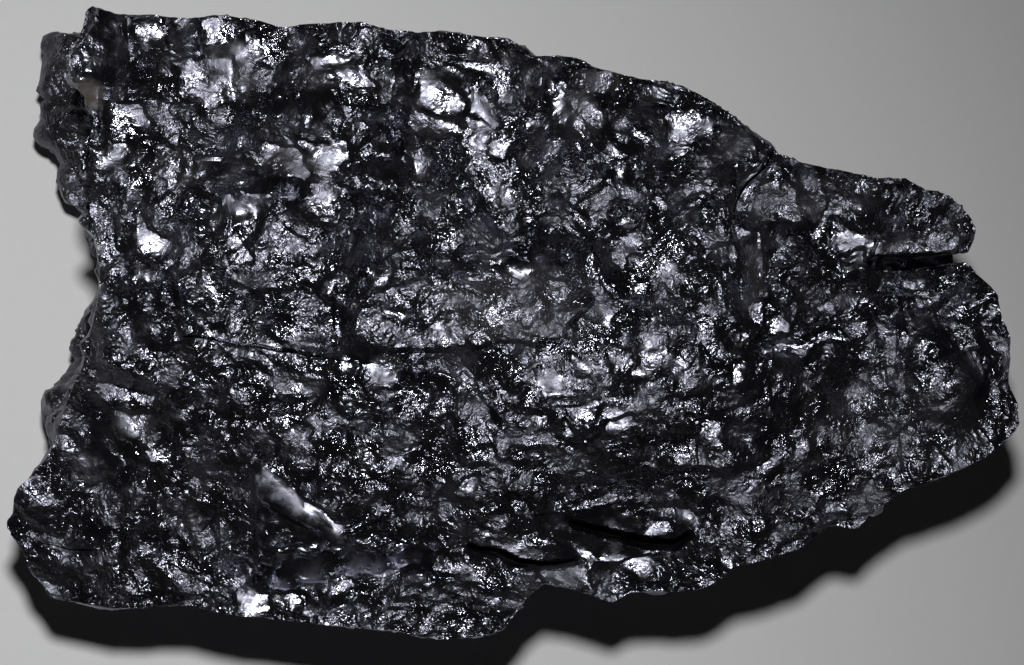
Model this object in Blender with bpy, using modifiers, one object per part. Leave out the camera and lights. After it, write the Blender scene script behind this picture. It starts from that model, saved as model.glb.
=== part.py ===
"""A hand-sized lump of anthracite coal: one natural piece, lying on a flat cleat face.

The lump is hewn the way the seam breaks: a slab with the lump's outline is cut by fracture
planes below its rim, the broken top is raised and lowered over it, scalloped fracture marks are
pressed in all round, and the joints that gape are cut last.
Lengths below are in millimetres. +X runs along the lump, +Y across it, +Z up.
"""

import math

import bmesh
import bpy
from mathutils import Matrix, Vector, noise

MM = 0.001

# ---------------------------------------------------------------------------------------
# Driving dimensions
# ---------------------------------------------------------------------------------------
SLAB_TOP = 40.0  # top of the slab before its broken face is shaped
SHELF_HEIGHT = 10.0  # the low step at the north-west corner
GRAIN = 0.85  # voxel of the remesh that turns the hewn slab into an even skin
TRIANGLES = 9000  # the finished lump
PLAIN_BELOW, PLAIN_ABOVE = 4.0, 30.0  # the underside takes larger triangles than the top
DETAIL_SHARE, DETAIL_FACTOR = 0.6, 0.000002

# The plan of the lump as an eye over its middle sees it: plan units count to the east and to the
# south, PLAN_REACH of them across for each unit of height under the eye.
EYE_HEIGHT = 340.0
PLAN_REACH = 3040.0
PLAN_MIDDLE = (512.0, 332.5)

# The lump's outline, clockwise from the north-west peak, one list for each side: each mark is
# its place in plan units, east and south, and its height in millimetres.
NORTH_RIM = [
    (97, 8, 33), (112, 15, 34), (130, 18, 34), (163, 17, 34), (175, 22, 34), (203, 23, 34),
    (228, 19, 35), (258, 23, 35), (288, 30, 36), (310, 25, 36), (362, 25, 36),
    (392, 33, 36), (430, 36, 36), (465, 38, 36), (500, 39, 36), (517, 46, 36), (530, 55, 36),
    (556, 58, 36), (575, 60, 36), (600, 73, 36), (635, 80, 36), (662, 83, 36), (700, 98, 36),
    (725, 115, 36), (771, 144, 36),
]
NORTH_EAST_RIM = [
    (773, 150, 36), (792, 160, 36), (840, 171, 36), (885, 182, 36), (900, 177, 35),
    (922, 190, 35), (944, 194, 35), (958, 210, 34), (972, 231, 34), (972, 243, 34),
    (962, 250, 34),
]
EAST_RIM = [
    (968, 269, 34), (985, 286, 34), (999, 301, 34), (997, 316, 34), (1009, 332, 34),
    (1007, 366, 34), (1006, 382, 34), (1016, 400, 34), (1017, 424, 34), (1003, 441, 34),
    (990, 452, 34),
]
SOUTH_EAST_RIM = [
    (958, 469, 36), (925, 482, 36), (905, 489, 36), (886, 508, 37), (868, 522, 37),
    (860, 535, 38), (840, 529, 38), (822, 530, 38), (821, 538, 38), (796, 551, 37),
    (760, 562, 37), (738, 564, 37), (718, 583, 37), (700, 592, 37), (660, 594, 36),
    (635, 591, 35), (613, 603, 34), (580, 593, 35), (538, 583, 35),
]
SOUTH_RIM = [
    (528, 598, 35), (510, 621, 34), (500, 633, 34), (445, 638, 33), (390, 630, 33),
    (315, 622, 33), (240, 617, 32), (200, 612, 32), (110, 609, 31), (45, 599, 30),
    (38, 588, 29), (20, 573, 28), (17, 556, 28), (6, 521, 26), (20, 508, 26),
]
WEST_FOOT = [
    (24, 486, 20), (31, 440, 14), (44, 407, 12), (56, 388, 10), (70, 362, 10),
    (80, 330, 10), (89, 295, 10), (86, 262, 10), (91, 240, 10), (80, 217, 9),
]
SHELF_EDGE = [
    (66, 207, 9), (62, 190, 9), (48, 180, 9), (39, 160, 9), (36, 140, 9),
    (42, 120, 9), (41, 85, 9), (37, 63, 9), (40, 42, 9), (51, 33, 9), (78, 30, 9),
    (86, 26, 9),
]
OUTLINE = (
    NORTH_RIM + NORTH_EAST_RIM + EAST_RIM + SOUTH_EAST_RIM + SOUTH_RIM + WEST_FOOT + SHELF_EDGE
)

# The upper rim beside the shelf; all that lies west of it is broken away above the shelf.
SHELF_RISER = [
    (-42.9, 30.8), (-43.5, 29.5), (-44.4, 27.4), (-44.4, 25.6), (-43.0, 23.9), (-41.7, 22.6),
    (-41.7, 19.4), (-42.8, 18.9), (-43.3, 14.9), (-43.1, 11.8),
]

# Fracture planes under the rim: name, heading of the edge in plan (degrees), a point where the
# plane meets the ground, and one where it comes out below the rim.
FRACTURE_PLANES = [
    ("south", 0.0, (-20.0, -20.5, 0.0), (-20.0, -30.0, 28.0)),
    ("south_east", 17.5, (25.0, -15.5, 0.0), (25.0, -24.0, 31.0)),
    ("east", 94.0, (37.0, -2.0, 0.0), (49.5, -2.0, 29.0)),
    ("north_east", -21.0, (22.0, 14.5, 0.0), (25.0, 20.0, 27.0)),
    ("north", -2.0, (-20.0, 30.6, 0.0), (-20.0, 32.2, 25.0)),
    ("north_west", 88.0, (-48.6, 22.0, 0.0), (-51.6, 22.0, 8.0)),
    ("west", 93.0, (-45.0, 0.0, 0.0), (-48.0, 0.0, 9.0)),
    ("south_west", 126.0, (-42.0, -21.0, 0.0), (-49.5, -25.0, 22.0)),
]

# The west wall leans out from its rim to its foot.
WEST_LEAN = 5.0
WEST_LEAN_FOOT, WEST_LEAN_RIM = 10.0, 33.0  # heights between which it leans
WEST_LEAN_SOUTH, WEST_LEAN_NORTH = -15.0, 12.0
WEST_LEAN_DEPTH = 16.0  # how far in from the wall the lean dies away

# Heights of the broken top at points across it: x, y, height.
TOP_HEIGHTS = [
    (-48, -25, 27.5), (-49, -14, 30.5), (-43, -20, 31.5), (-41, 4, 36.5), (-42, 16, 37.5),
    (-41, 31, 35.0), (-28, 29, 37.5), (-34, 12, 39.0), (-26, 0, 38.8), (-33, -12, 36.5),
    (-30, -25, 32.5), (-18, -16, 37.5), (-10, -29, 33.5), (-15, 26, 39.0), (-7, 24, 40.5),
    (5, 22, 38.5), (-9, 9, 39.3), (0, 0, 40.6), (-9, -10, 39.2), (5, -14, 39.0), (1, -27, 35.5),
    (14, -24, 35.5), (12, 11, 40.0), (20, 17, 38.0), (23, 7, 39.8), (31, 11, 38.6),
    (42, 11, 36.5), (38, 0, 37.6), (48, -5, 34.5), (21, -6, 40.0), (30, -17, 37.0),
    (40, -11, 36.5),
]
TOP_REACH = 6.5  # how far one height governs

# Swellings and hollows of the top: x, y, radius along, radius across, heading, rise.
SWELLS = [
    (-7.5, 23.6, 3.4, 2.8, 0, 1.4),  # the north boss
    (-16.5, 25.0, 4.0, 2.2, -25, 0.9),
    (-36.0, 29.0, 3.0, 2.0, 0, 0.8),
    (-31.0, 23.5, 3.4, 2.2, -40, 0.8),
    (-37.5, 17.5, 4.5, 3.0, 10, 0.9),
    (-36.5, 8.3, 2.2, 2.4, 40, 0.9),
    (-26.5, 11.0, 3.2, 2.6, -50, 0.9),
    (18.7, 20.0, 2.8, 4.2, 20, 1.2),
    (9.0, 17.0, 4.0, 2.6, -30, 0.8),
    (34.5, 7.0, 3.6, 2.2, -15, 1.0),
    (14.0, -3.5, 5.5, 3.0, 15, 1.2),
    (8.0, -8.0, 4.0, 2.6, -10, 0.9),
    (17.5, -19.0, 3.4, 1.8, 10, 1.0),
    (16.5, -23.5, 4.4, 1.7, 0, 0.8),
    (-19.5, -16.3, 5.5, 2.6, -38, 1.7),  # back of the glassy facet
    (-13.0, 2.0, 7.0, 4.5, -10, 0.5),
    (-16.0, -22.6, 8.5, 2.0, 3, -2.4),  # the hollow under the glassy facet
    (10.0, -20.3, 6.0, 1.6, 4, -1.3),
    (13.0, 21.8, 3.2, 1.8, -15, -1.1),
    (-39.5, 25.8, 2.2, 3.6, 0, -1.2),
    (40.0, 5.0, 5.0, 1.6, 3, -1.2),  # under the east ledge
    (-38.5, -3.0, 3.0, 5.0, 0, -1.1),
    (-37.0, -15.0, 7.0, 3.0, 25, -0.9),
]

# Troughs between the fracture steps: depth, half width, then the points of the trough's floor.
TROUGHS = [
    (1.5, 1.9, [(-21.0, 29.0), (-25.0, 23.5), (-27.5, 18.5), (-28.4, 14.0), (-30.5, 8.0)]),
    (1.4, 1.5, [(-12.5, 15.0), (-14.2, 9.5), (-16.7, 3.5), (-17.8, -0.5)]),
    (0.9, 1.3, [(-12.0, 8.5), (-7.5, 7.0), (-1.0, 7.6), (7.5, 7.4)]),
    (1.0, 1.3, [(31.5, 16.6), (34.5, 14.8), (37.5, 12.6)]),
    (1.0, 1.5, [(24.5, -0.8), (31.0, -0.3), (38.0, -0.6)]),
    (1.0, 1.2, [(-14.0, -4.3), (-9.0, -5.3), (-4.0, -5.2)]),
    (1.1, 1.3, [(-10.8, 22.0), (-11.4, 18.0), (-9.8, 14.8)]),
    (0.9, 1.2, [(-4.2, 25.0), (-4.6, 21.5), (-2.6, 18.8)]),
    (1.0, 1.5, [(-36.0, -5.0), (-35.5, -12.0), (-40.0, -17.5), (-41.0, -22.0)]),
    (0.8, 1.2, [(14.0, 15.5), (20.5, 14.0), (24.5, 17.0)]),
]

# Fracture steps: drop, how far the low side reaches, then the points of the step's edge. The low
# side is on the right hand, looking along the edge.
STEPS = [
    (1.5, 7.0, [(26.2, 18.2), (22.8, 14.3), (21.8, 10.0), (23.3, 4.0)][::-1]),
    (1.6, 6.0, [(35.8, 6.8), (41.0, 7.3), (46.5, 8.2)]),
    (1.2, 5.0, [(-28.2, 13.6), (-28.6, 9.8)]),
    (1.0, 5.0, [(-46.5, -22.0), (-43.0, -22.6), (-36.0, -23.2)]),
]
STEP_WIDTH = 0.7

# Scalloped fracture marks: cell size, slope of a dish, its hollowness, the unevenness of the
# dishes' levels, and a shift that makes each size's cells its own.
SCALLOPS = [
    (10.5, 0.20, 0.38, 0.06, (3.1, 7.7, 1.3)),
    (5.4, 0.34, 0.50, 0.10, (8.3, 2.9, 5.1)),
    (3.1, 0.26, 0.34, 0.08, (1.9, 4.4, 9.2)),
]
BEDDING_STRETCH = Vector((0.70, 1.0, 1.2))  # cells are long in the bedding, which lies along X
HACKLE_DEPTH, HACKLE_SIZE = 0.35, 6.5  # the rough relief over all of it
RIM_HOLD = (0.5, 9.0)  # the sides take their full marks only this far below the rim
MARKS_LEVEL = 0.66  # the marks' mean height, taken off so that they neither swell nor shrink it
SIDES_SET_IN, SIDES_PROUD = 1.0, 0.3  # so that the marks on the sides stay within the rim

# Joints that gape: name, width, depth below the surface, then the points of the joint's mouth.
JOINTS = [
    ("east_joint", 1.2, 7.0, [(35.6, 6.5), (38.5, 6.6), (41.5, 7.0), (44.0, 7.3), (48.5, 7.4)]),
    ("south_joint", 0.8, 6.0, [(-3.6, -21.4), (-0.5, -22.6), (2.5, -23.2), (5.8, -23.4)]),
    ("lobe_joint", 0.7, 6.0, [(5.8, -19.2), (9.0, -20.2), (13.0, -21.0), (17.0, -21.5)]),
]
JOINT_ABOVE = 8.0  # the cutters stand this far over the face

# The face the lump rests on: its middle, length and width, and how the underside rises round it.
REST_X, REST_Y = -6.0, 2.0
REST_LENGTH, REST_WIDTH = 62.0, 34.0
REST_LIFT = 0.08  # all that is lower than this lies on the ground
BASE_CURL, BASE_BEDDED = 4.0, 0.45
BASE_ROUGHNESS, BASE_PATCH = 1.5, 11.0
BASE_REACH = 14.0  # the height at which the underside's rise has died away

COAL_COLOUR = (0.028, 0.028, 0.031, 1.0)


# ---------------------------------------------------------------------------------------
# Small helpers
# ---------------------------------------------------------------------------------------
def clear_scene():
    for obj in list(bpy.data.objects):
        bpy.data.objects.remove(obj)


def collection(name):
    made = bpy.data.collections.new(name)
    bpy.context.scene.collection.children.link(made)
    return made


def smooth(value, low, high):
    """0 below low and 1 above high, with a soft change between; low may be above high."""
    share = min(1.0, max(0.0, (value - low) / (high - low)))
    return share * share * (3.0 - 2.0 * share)


def prism(name, outline, bottom, top, home):
    """A flat outline, filled and extruded from one height to another, as a mesh."""
    curve = bpy.data.curves.new(name, "CURVE")
    curve.dimensions = "2D"
    curve.fill_mode = "BOTH"
    curve.extrude = (top - bottom) / 2 * MM
    spline = curve.splines.new("POLY")
    spline.points.add(len(outline) - 1)
    for point, (x, y) in zip(spline.points, outline):
        point.co = (x * MM, y * MM, 0.0, 1.0)
    spline.use_cyclic_u = True
    flat = bpy.data.objects.new(name, curve)
    flat.location.z = (top + bottom) / 2 * MM
    home.objects.link(flat)
    solid = as_mesh(flat, home)
    bm = bmesh.new()
    bm.from_mesh(solid.data)
    bmesh.ops.remove_doubles(bm, verts=bm.verts, dist=0.01 * MM)
    bmesh.ops.recalc_face_normals(bm, faces=bm.faces)
    bm.to_mesh(solid.data)
    bm.free()
    return solid


def as_mesh(obj, home):
    """The object as Blender evaluates it, in world space, in place of the object itself."""
    bpy.context.view_layer.update()
    graph = bpy.context.evaluated_depsgraph_get()
    mesh = bpy.data.meshes.new_from_object(obj.evaluated_get(graph))
    mesh.transform(obj.matrix_world)
    name = obj.name
    bpy.data.objects.remove(obj)
    made = bpy.data.objects.new(name, mesh)
    mesh.name = name
    home.objects.link(made)
    return made


def cut(obj, cutter):
    """Takes the cutter's volume away from the object, and keeps the cutter as a hidden guide."""
    boolean = obj.modifiers.new("cut_" + cutter.name, "BOOLEAN")
    boolean.operation = "DIFFERENCE"
    boolean.solver = "EXACT"
    boolean.object = cutter
    cutter.hide_render = True
    cutter.display_type = "WIRE"


# ---------------------------------------------------------------------------------------
# The hewn block
# ---------------------------------------------------------------------------------------
def fracture_cutter(name, heading, foot, rim, home):
    """A box whose one face is the fracture plane through foot and rim, with the waste inside."""
    size = 200.0
    along = Vector((math.cos(math.radians(heading)), math.sin(math.radians(heading)), 0.0))
    rise = (Vector(rim) - Vector(foot)).normalized()
    outward = rise.cross(along).normalized()
    if outward.z > 0.0:
        outward.negate()
    across = outward.cross(along).normalized()
    bpy.ops.mesh.primitive_cube_add(size=size * MM)
    box = bpy.context.object
    box.name = name + "_waste"
    centre = Vector(foot) + outward * size / 2
    turn = Matrix((along, across, outward)).transposed().to_4x4()
    box.matrix_world = Matrix.Translation(centre * MM) @ turn
    for other in list(box.users_collection):
        other.objects.unlink(box)
    home.objects.link(box)
    return box


def plan_place(mark):
    """A mark's place in millimetres, east and north of the plan's middle."""
    east, south, height = mark
    reach = (EYE_HEIGHT - height) / PLAN_REACH
    return (
        round((east - PLAN_MIDDLE[0]) * reach, 1),
        round((PLAN_MIDDLE[1] - south) * reach, 1),
    )


def hew_block(coal, cutters):
    """The slab, broken off below its rim and above the north-west shelf."""
    outline = [plan_place(mark) for mark in OUTLINE]
    block = prism("coal_lump", outline, 0.0, SLAB_TOP, coal)
    beyond = [(-60.0, 10.0), (-60.0, 45.0), (-42.9, 45.0)]
    waste = prism("shelf_waste", SHELF_RISER + beyond, SHELF_HEIGHT, SLAB_TOP + 10.0, cutters)
    cut(block, waste)
    for name, heading, foot, rim in FRACTURE_PLANES:
        cut(block, fracture_cutter(name, heading, foot, rim, cutters))
    return as_mesh(block, coal)


def remesh(obj, home):
    skin = obj.modifiers.new("skin", "REMESH")
    skin.mode = "VOXEL"
    skin.voxel_size = GRAIN * MM
    return as_mesh(obj, home)


# ---------------------------------------------------------------------------------------
# The shape of the broken faces. Points are in millimetres from here on.
# ---------------------------------------------------------------------------------------
def turned(x, y, heading):
    angle = math.radians(heading)
    return (
        x * math.cos(angle) + y * math.sin(angle),
        y * math.cos(angle) - x * math.sin(angle),
    )


def nearest_on_path(x, y, path):
    """Distance to a path in plan, and whether the point is on its right hand (1) or left (-1)."""
    best, side = 1e9, 1.0
    for (ax, ay), (bx, by) in zip(path, path[1:]):
        dx, dy = bx - ax, by - ay
        share = ((x - ax) * dx + (y - ay) * dy) / (dx * dx + dy * dy)
        share = min(1.0, max(0.0, share))
        gap = math.hypot(x - ax - share * dx, y - ay - share * dy)
        if gap < best:
            best = gap
            side = 1.0 if dx * (y - ay) - dy * (x - ax) < 0.0 else -1.0
    return best, side


def governed_height(x, y):
    """The broken top's height from the named heights round a point."""
    total = weight_sum = 0.0
    for hx, hy, height in TOP_HEIGHTS:
        gap = ((x - hx) ** 2 + (y - hy) ** 2) / TOP_REACH**2
        weight = 1.0 / (0.08 + gap) ** 2
        total += weight * height
        weight_sum += weight
    return total / weight_sum


def relief(x, y):
    """How far the named swells, troughs and steps raise or lower the top at a point."""
    rise = 0.0
    for sx, sy, along, across, heading, height in SWELLS:
        u, v = turned(x - sx, y - sy, heading)
        rise += height * math.exp(-((u / along) ** 2) - (v / across) ** 2)
    for depth, half_width, path in TROUGHS:
        gap, _ = nearest_on_path(x, y, path)
        rise -= depth * math.exp(-((gap / half_width) ** 2))
    for drop, reach, edge in STEPS:
        gap, side = nearest_on_path(x, y, edge)
        low = smooth(side * gap, -STEP_WIDTH / 2, STEP_WIDTH / 2)
        rise -= drop * low * smooth(gap, reach, STEP_WIDTH)
    return rise


def scallop(point, cell, slope, hollow, uneven, shift):
    """Height of the fracture mark at a point: tilted dishes that meet in sharp ridges."""
    scaled = Vector(a * b for a, b in zip(point, BEDDING_STRETCH)) / cell + Vector(shift)
    _, centres = noise.voronoi(scaled)
    lowest = 1e9
    for centre in centres:
        offset = scaled - centre
        tilt = noise.cell_vector(centre * 53.0) * 2.0 - Vector((1.0, 1.0, 1.0))
        level = uneven * tilt.z
        lowest = min(lowest, hollow * offset.length_squared + slope * tilt.dot(offset) + level)
    return cell * (lowest - 0.12 * hollow)


def hackle(point):
    """Rough broken relief, between about -1 and 1."""
    return noise.noise(point / HACKLE_SIZE) + 0.5 * noise.noise(point / HACKLE_SIZE * 2.1)


def lean_of_west_wall(point):
    """How far east a point moves because the west wall leans in towards its rim."""
    up = smooth(point.z, WEST_LEAN_FOOT, WEST_LEAN_RIM)
    middle = (WEST_LEAN_SOUTH + WEST_LEAN_NORTH) / 2
    half = (WEST_LEAN_NORTH - WEST_LEAN_SOUTH) / 2
    along = smooth(abs(point.y - middle), half + 3.0, half - 4.0)
    inside = smooth(point.x, -46.0 + WEST_LEAN_DEPTH, -46.0)
    return WEST_LEAN * up * along * inside


def base_rise(point):
    """How far the underside rises from the ground, round the face the lump rests on."""
    out = math.hypot((point.x - REST_X) / REST_LENGTH, (point.y - REST_Y) / REST_WIDTH) * 2.0
    rough = BASE_ROUGHNESS * noise.noise(Vector((point.x, point.y, 0.0)) / BASE_PATCH)
    rise = BASE_CURL * smooth(out, 0.85, 1.5) + rough - BASE_BEDDED
    return max(0.0, rise) * smooth(point.z, BASE_REACH, 0.0)


def break_faces(obj):
    """Moves every point of the even skin to where the broken faces lie."""
    bm = bmesh.new()
    bm.from_mesh(obj.data)
    bm.normal_update()
    moved = {}
    for vert in bm.verts:
        point = vert.co / MM
        normal = vert.normal
        top = governed_height(point.x, point.y) / SLAB_TOP
        on_top = smooth(point.z, SHELF_HEIGHT + 4.0, SLAB_TOP - 5.0) * smooth(normal.z, -0.2, 0.6)
        marks = sum(scallop(point, *size) for size in SCALLOPS) - MARKS_LEVEL
        rise = base_rise(point)
        off_ground = max(smooth(point.z, 0.0, 2.0), smooth(rise, 0.0, BASE_CURL))
        depth = (marks + HACKLE_DEPTH * hackle(point)) * off_ground
        below_rim = smooth(SLAB_TOP - point.z, *RIM_HOLD)
        target = Vector((point.x + lean_of_west_wall(point), point.y, point.z * top + rise))
        target.z += relief(point.x, point.y) * on_top
        aside = min(depth - SIDES_SET_IN, SIDES_PROUD) * below_rim
        target += Vector((normal.x * aside, normal.y * aside, normal.z * depth))
        moved[vert] = target * MM
    for vert, target in moved.items():
        vert.co = target
    bm.to_mesh(obj.data)
    bm.free()


def bed_down(obj):
    """Sets the face the lump rests on flat on the ground."""
    for vert in obj.data.vertices:
        if vert.co.z < REST_LIFT * MM:
            vert.co.z = 0.0


def simplify(obj, home):
    """Fewer, larger triangles, with the sharp edges kept, down to the finished number."""
    plain = obj.vertex_groups.new(name="underside")
    for vert in obj.data.vertices:
        share = smooth(vert.co.z / MM, PLAIN_ABOVE, PLAIN_BELOW)
        plain.add([vert.index], 1.0 - DETAIL_SHARE * (1.0 - share), "REPLACE")
    obj.data.calc_loop_triangles()
    fewer = obj.modifiers.new("fewer", "DECIMATE")
    fewer.vertex_group = plain.name
    fewer.vertex_group_factor = DETAIL_FACTOR
    fewer.ratio = TRIANGLES / len(obj.data.loop_triangles)
    fewer.use_collapse_triangulate = True
    return as_mesh(obj, home)


# ---------------------------------------------------------------------------------------
# Joints
# ---------------------------------------------------------------------------------------
def joint_outline(width, mouth):
    """A lens in plan round the joint's mouth, pointed at the first point, open at the last."""
    left, right = [], []
    for index, (x, y) in enumerate(mouth):
        before = Vector(mouth[max(0, index - 1)])
        after = Vector(mouth[min(len(mouth) - 1, index + 1)])
        heading = (after - before).normalized()
        half = width / 2 * math.sin(math.pi * (0.08 + 0.75 * index / (len(mouth) - 1)))
        side = Vector((-heading.y, heading.x)) * half
        left.append((x + side.x, y + side.y))
        right.append((x - side.x, y - side.y))
    return left + right[::-1]


def cut_joints(lump, coal, cutters):
    for name, width, depth, mouth in JOINTS:
        floor = min(governed_height(x, y) for x, y in mouth) - depth
        top = floor + depth + JOINT_ABOVE
        cut(lump, prism(name + "_gap", joint_outline(width, mouth), floor, top, cutters))
    return as_mesh(lump, coal)


# ---------------------------------------------------------------------------------------
# Finish
# ---------------------------------------------------------------------------------------
def centre_on_base(obj):
    """Puts the origin at the middle of the lump's box, on the ground."""
    xs, ys, zs = ([v.co[axis] for v in obj.data.vertices] for axis in range(3))
    middle = Vector(((min(xs) + max(xs)) / 2, (min(ys) + max(ys)) / 2, min(zs)))
    print("moved by", [round(value / MM, 3) for value in middle])
    obj.data.transform(Matrix.Translation(-middle))


def coal_material():
    material = bpy.data.materials.new("anthracite")
    material.use_nodes = True
    shader = material.node_tree.nodes["Principled BSDF"]
    shader.inputs["Base Color"].default_value = COAL_COLOUR
    shader.inputs["Roughness"].default_value = 0.28
    shader.inputs["Metallic"].default_value = 0.0
    shader.inputs["IOR"].default_value = 1.9
    material.diffuse_color = COAL_COLOUR
    return material


def build_lump():
    clear_scene()
    coal = collection("coal lump")
    cutters = collection("cutters")
    lump = remesh(hew_block(coal, cutters), coal)
    break_faces(lump)
    lump = simplify(lump, coal)
    bed_down(lump)
    lump = cut_joints(lump, coal, cutters)
    centre_on_base(lump)
    lump.data.materials.clear()
    lump.data.materials.append(coal_material())
    lump.data.shade_flat()
    return lump


build_lump()
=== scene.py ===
"""The coal lump as it looks: a hand-sized piece of anthracite with a bright, scalloped fracture.

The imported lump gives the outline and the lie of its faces. Its copy here is cast in an even fine
skin, its upper face is broken into facets, ledges and troughs, all faces are scalloped, and the
joints are cut last. Lengths are in millimetres until the mesh is written, in the lump's frame.

Places on the upper face are given in plan units, tenths of a millimetre at the rim: u to the
east and v to the south, from the plan's north-west corner, as the eye sees them from
EYE_HEIGHT above the ground.
"""

import itertools
import math

import bpy
import numpy as np
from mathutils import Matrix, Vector


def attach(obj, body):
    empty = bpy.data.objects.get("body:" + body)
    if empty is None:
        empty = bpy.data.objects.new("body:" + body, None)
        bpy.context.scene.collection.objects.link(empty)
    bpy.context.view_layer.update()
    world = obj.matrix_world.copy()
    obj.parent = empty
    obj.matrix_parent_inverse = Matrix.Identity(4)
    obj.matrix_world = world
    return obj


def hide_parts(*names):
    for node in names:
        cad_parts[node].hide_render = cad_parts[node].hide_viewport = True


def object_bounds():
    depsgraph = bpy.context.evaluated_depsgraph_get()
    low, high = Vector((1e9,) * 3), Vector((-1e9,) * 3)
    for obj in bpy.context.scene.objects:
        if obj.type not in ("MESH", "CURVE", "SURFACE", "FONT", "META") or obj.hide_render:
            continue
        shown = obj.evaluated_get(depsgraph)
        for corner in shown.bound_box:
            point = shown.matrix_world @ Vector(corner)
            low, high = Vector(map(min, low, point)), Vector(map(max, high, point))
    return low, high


MM = 0.001
FAR = 1e9

# ---------------------------------------------------------------------------------------
# The plan
# ---------------------------------------------------------------------------------------
EYE_HEIGHT = 340.0
PLAN_MIDDLE = (512.0, 332.5)
PLAN_REACH = 3040.0  # plan units across, for each unit of height under the eye
EYE_PLACE = (0.531, -1.010)  # where the plan's middle lies in the lump's frame
FACE_HEIGHT = 37.5  # the upper face, for turning plan units into millimetres
PLAN_UNIT = 0.1  # about how many millimetres one plan unit is

# ---------------------------------------------------------------------------------------
# Studio
# ---------------------------------------------------------------------------------------
KEY_PLACE = (0.5, 49.8, 340.0)
KEY_TARGET = (-211.0, -106.0, 0.0)
KEY_CONE = 120.0  # degrees
KEY_SIZE = 9.0
KEY_POWER = 3.43  # watts
WORLD_GLOW = 0.006
FLOOR_SIZE = 3000.0
SENSOR = 36.0

# ---------------------------------------------------------------------------------------
# Sizes of the work
# ---------------------------------------------------------------------------------------
SKIN_VOXEL = 0.33
SKIN_SMOOTHING = 4  # rounds
MERGE_REACH = 0.01
MOST_TRIANGLES = 189000
PLAIN_SHARE = 0.42  # how many of the triangles stay on the sides and the underside
PLAIN_FACING, PLAIN_BELOW = 0.2, 28.0  # how little those face upwards, and how high they reach
SHADE_ANGLE = 24.0  # degrees; sharper edges stay sharp
BOX_ROOM = 0.2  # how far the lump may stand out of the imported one's box

LEVEL_GRID = 1.0  # pitch of the grid that levels the upper face
LEVEL_MARGIN = 4.0  # how far the grid reaches past the lump
LEVEL_BLUR = 3.6  # how far its own small relief is spread before the new relief goes on
LEVEL_FROM = 24.0  # nothing lower belongs to the upper face
LEVEL_FACING = 0.35  # nor does what faces upwards less than this
LEVEL_DEPTH = 4.0  # nor what lies this far under the highest point near it
UPPER_DEPTH = (6.0, 3.0)  # how far under the level the upper face begins and is itself
UPPER_WHOLE = 0.99  # a share over this counts as level
GROUND_EDGE = (0.0, 2.0)  # the relief grows from nothing at the ground over this height
RIM_CALM, RIM_REACH = 0.75, 6.0  # the relief is calmer on the steep skin just under the rim
SIDEWAYS_HELD = 0.5  # how much of the relief's sideways part the upper face leaves out

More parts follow.
